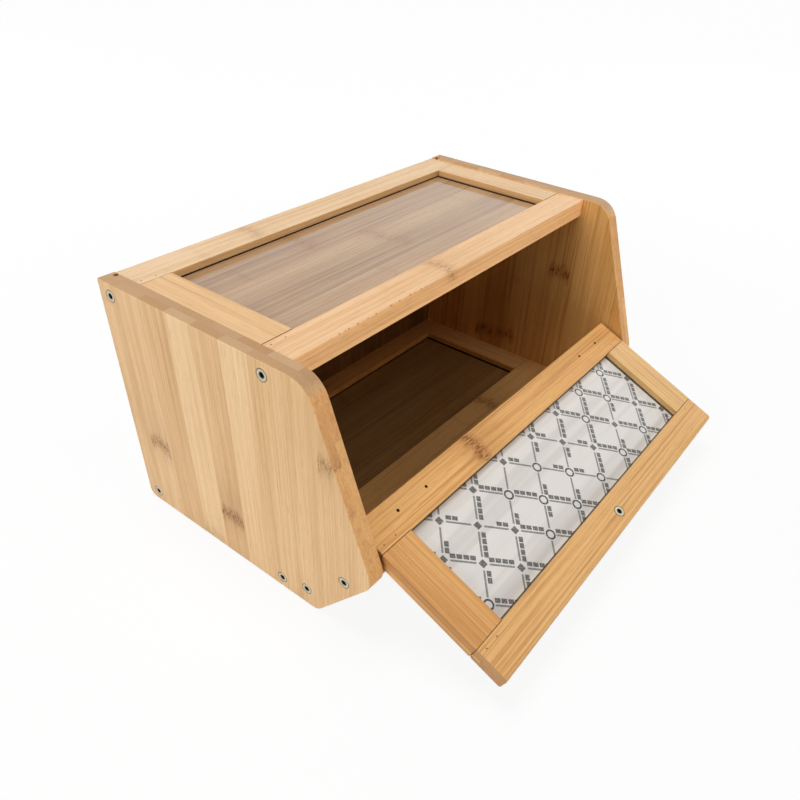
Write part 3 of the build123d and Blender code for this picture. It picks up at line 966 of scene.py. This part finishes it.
def dress_top():
    """The top frame: two rails, two stiles and a thin panel."""
    top = reach("top_front_rail", UP)[1]
    rear_mark = clear_mark(-71 * MM, 14 * MM, top, HALF_RAIL, 0.35)
    rear_tint = (0.94, 1.02, 1.16)
    rear = Board("top_rear_rail", RIGHT, FRONT, UP, 21, tint=rear_tint, marks=(rear_mark,))
    front_mark = clear_mark(-19 * MM, 162 * MM, top, HALF_RAIL, 0.5)
    front_tint = (1.0, 0.98, 1.02)
    front = Board("top_front_rail", RIGHT, FRONT, UP, 22, tint=front_tint, marks=(front_mark,))
    stiles = (
        Board("top_left_stile", FRONT, RIGHT, UP, 23, tint=(0.92, 0.90, 0.86)),
        Board("top_right_stile", FRONT, RIGHT, UP, 24, tint=(0.94, 1.0, 1.12)),
    )
    joints = joint_line(reach("top_rear_rail", FRONT)[1], reach("top_front_rail", FRONT)[0], FRONT)
    dress_boards(rail_wood, (rear,))
    dress_boards(rail_wood, (front,), (chipped_edge,))
    dress_boards(rail_wood, stiles, (joints,))

    panel_top = reach("top_panel", UP)[1]
    panel_marks = (
        clear_mark(-49 * MM, 47 * MM, panel_top, HALF_PANEL_STRIP, 0.55),
        clear_mark(5 * MM, 76 * MM, panel_top, HALF_STRIP, 0.5),
        clear_mark(9 * MM, 101 * MM, panel_top, HALF_STRIP, 0.5),
    )
    panel = Board(
        "top_panel", RIGHT, FRONT, UP, 0,
        glue=CASE_REAR + 70 * MM,
        tint=(0.90, 0.88, 0.82),
        marks=panel_marks,
    )
    dress_boards(panel_wood, (panel,), (groove_gap_shade("top"),))


def dress_base():
    """The bottom frame with its panel, the lower front board and the back panel."""
    floor_top = reach("bottom_front_rail", UP)[1]
    front_mark = clear_mark(88 * MM, 155 * MM, floor_top, HALF_RAIL, 0.7)
    boards = (
        Board("bottom_rear_rail", RIGHT, FRONT, UP, 41, tint=FLOOR_FRAME_LIGHT_TINT),
        Board("bottom_front_rail", RIGHT, FRONT, UP, 42, tint=FLOOR_FRAME_LIGHT_TINT, marks=(front_mark,)),
        Board("bottom_left_stile", FRONT, RIGHT, UP, 43, tint=FLOOR_FRAME_LIGHT_TINT),
        Board("bottom_right_stile", FRONT, RIGHT, UP, 44, tint=FLOOR_FRAME_LIGHT_TINT),
        Board("lower_front_board", RIGHT, BOARD_ALONG, BOARD_NORMAL, 62),
    )
    dress_boards(rail_wood, boards)
    # Painted shade: the box's floor panel is darkened, as it lies in shade inside the box
    panel = Board("bottom_panel", RIGHT, FRONT, UP, 2, tint=(0.70, 0.65, 0.42))
    dress_boards(panel_wood, (panel,), (groove_gap_shade("bottom"),))
    dress_boards(panel_wood, (Board("back_panel", UP, RIGHT, -FRONT, 3),))


def dress_door():
    face = reach("door_hinge_rail", DOOR_NORMAL)[1]
    hinge_low, hinge_high = reach("door_hinge_rail", DOOR_ALONG)
    hinge_middle = (hinge_low + hinge_high) / 2
    hinge_place = RIGHT * (-55 * MM) + DOOR_ALONG * hinge_middle + DOOR_NORMAL * face
    hinge_rail = Board(
        "door_hinge_rail", RIGHT, DOOR_ALONG, DOOR_NORMAL, 71,
        tint=(1.04, 1.01, 0.93),
        marks=((hinge_place, HALF_RAIL, 1.0),),
    )
    top_tint = (1.0, 1.03, 1.06)
    top_rail = Board("door_top_rail", RIGHT, DOOR_ALONG, DOOR_NORMAL, 72, tint=top_tint)
    stiles = (
        Board("door_left_stile", DOOR_ALONG, RIGHT, DOOR_NORMAL, 73, tint=(0.92, 0.86, 0.79)),
        Board("door_right_stile", DOOR_ALONG, RIGHT, DOOR_NORMAL, 74, tint=(1.08, 1.22, 1.36)),
    )
    joints = joint_line(hinge_high, reach("door_top_rail", DOOR_ALONG)[0], DOOR_ALONG)
    dress_boards(door_wood, (hinge_rail,), (brad_hole_shade,))
    dress_boards(door_wood, (top_rail,))
    dress_boards(door_wood, stiles, (joints,))
    dress_boards(knob_wood, (Board("door_knob", DOOR_NORMAL, RIGHT, DOOR_ALONG, 75),))
    dress("door_window", clear_plastic("door_window"))


def dress_knob_screw():
    """The screw's head lies in the inner face of the door's top rail."""
    head_face = PIVOT.dot(DOOR_NORMAL) + DOOR_HALF_THICKNESS
    centre = [sum(reach("knob_screw", way)) / 2 for way in (RIGHT, DOOR_ALONG)]

    def depth(place):
        return head_face - place.along(DOOR_NORMAL)

    dress("knob_screw", nickel("knob_screw", [centre], RIGHT, DOOR_ALONG, depth))


def dress_case_screws():
    """A node holds two screws through each side, the second one in front of the first.

    The heads' middles are a head's radius inside the node's ends.
    """

    def depth(place):
        return cad_high[0] - abs(place.along(RIGHT))

    for name in ("top_frame_screws", "bottom_frame_screws", "front_board_screws"):
        low_y, high_y = reach(name, FRONT)
        low_z, high_z = reach(name, UP)
        centres = [
            (low_y + SCREW_HEAD_RADIUS, low_z + SCREW_HEAD_RADIUS),
            (high_y - SCREW_HEAD_RADIUS, high_z - SCREW_HEAD_RADIUS),
        ]
        dress(name, nickel(name, centres, FRONT, UP, depth))


def dress_pins_and_brads():
    for name in ("left_pivot_pin", "right_pivot_pin"):
        dress(name, plain_steel(name, srgb(190, 190, 188), 0.3))
    for name in ("top_frame_brads", "bottom_frame_brads", "door_brads"):
        dress(name, plain_steel(name, srgb(120, 92, 62), 0.6))
    dress("pivot_lock_brads", plain_steel("pivot_lock_brads", srgb(30, 24, 20), 0.7))


add_camera()
add_world()
for lamp in LAMPS:
    add_lamp(*lamp)
add_floor()
dress_sides()
dress_top()
dress_base()
dress_door()
add_film()
dress_knob_screw()
dress_case_screws()
dress_pins_and_brads()

scene = bpy.context.scene
scene.view_settings.view_transform = "Standard"
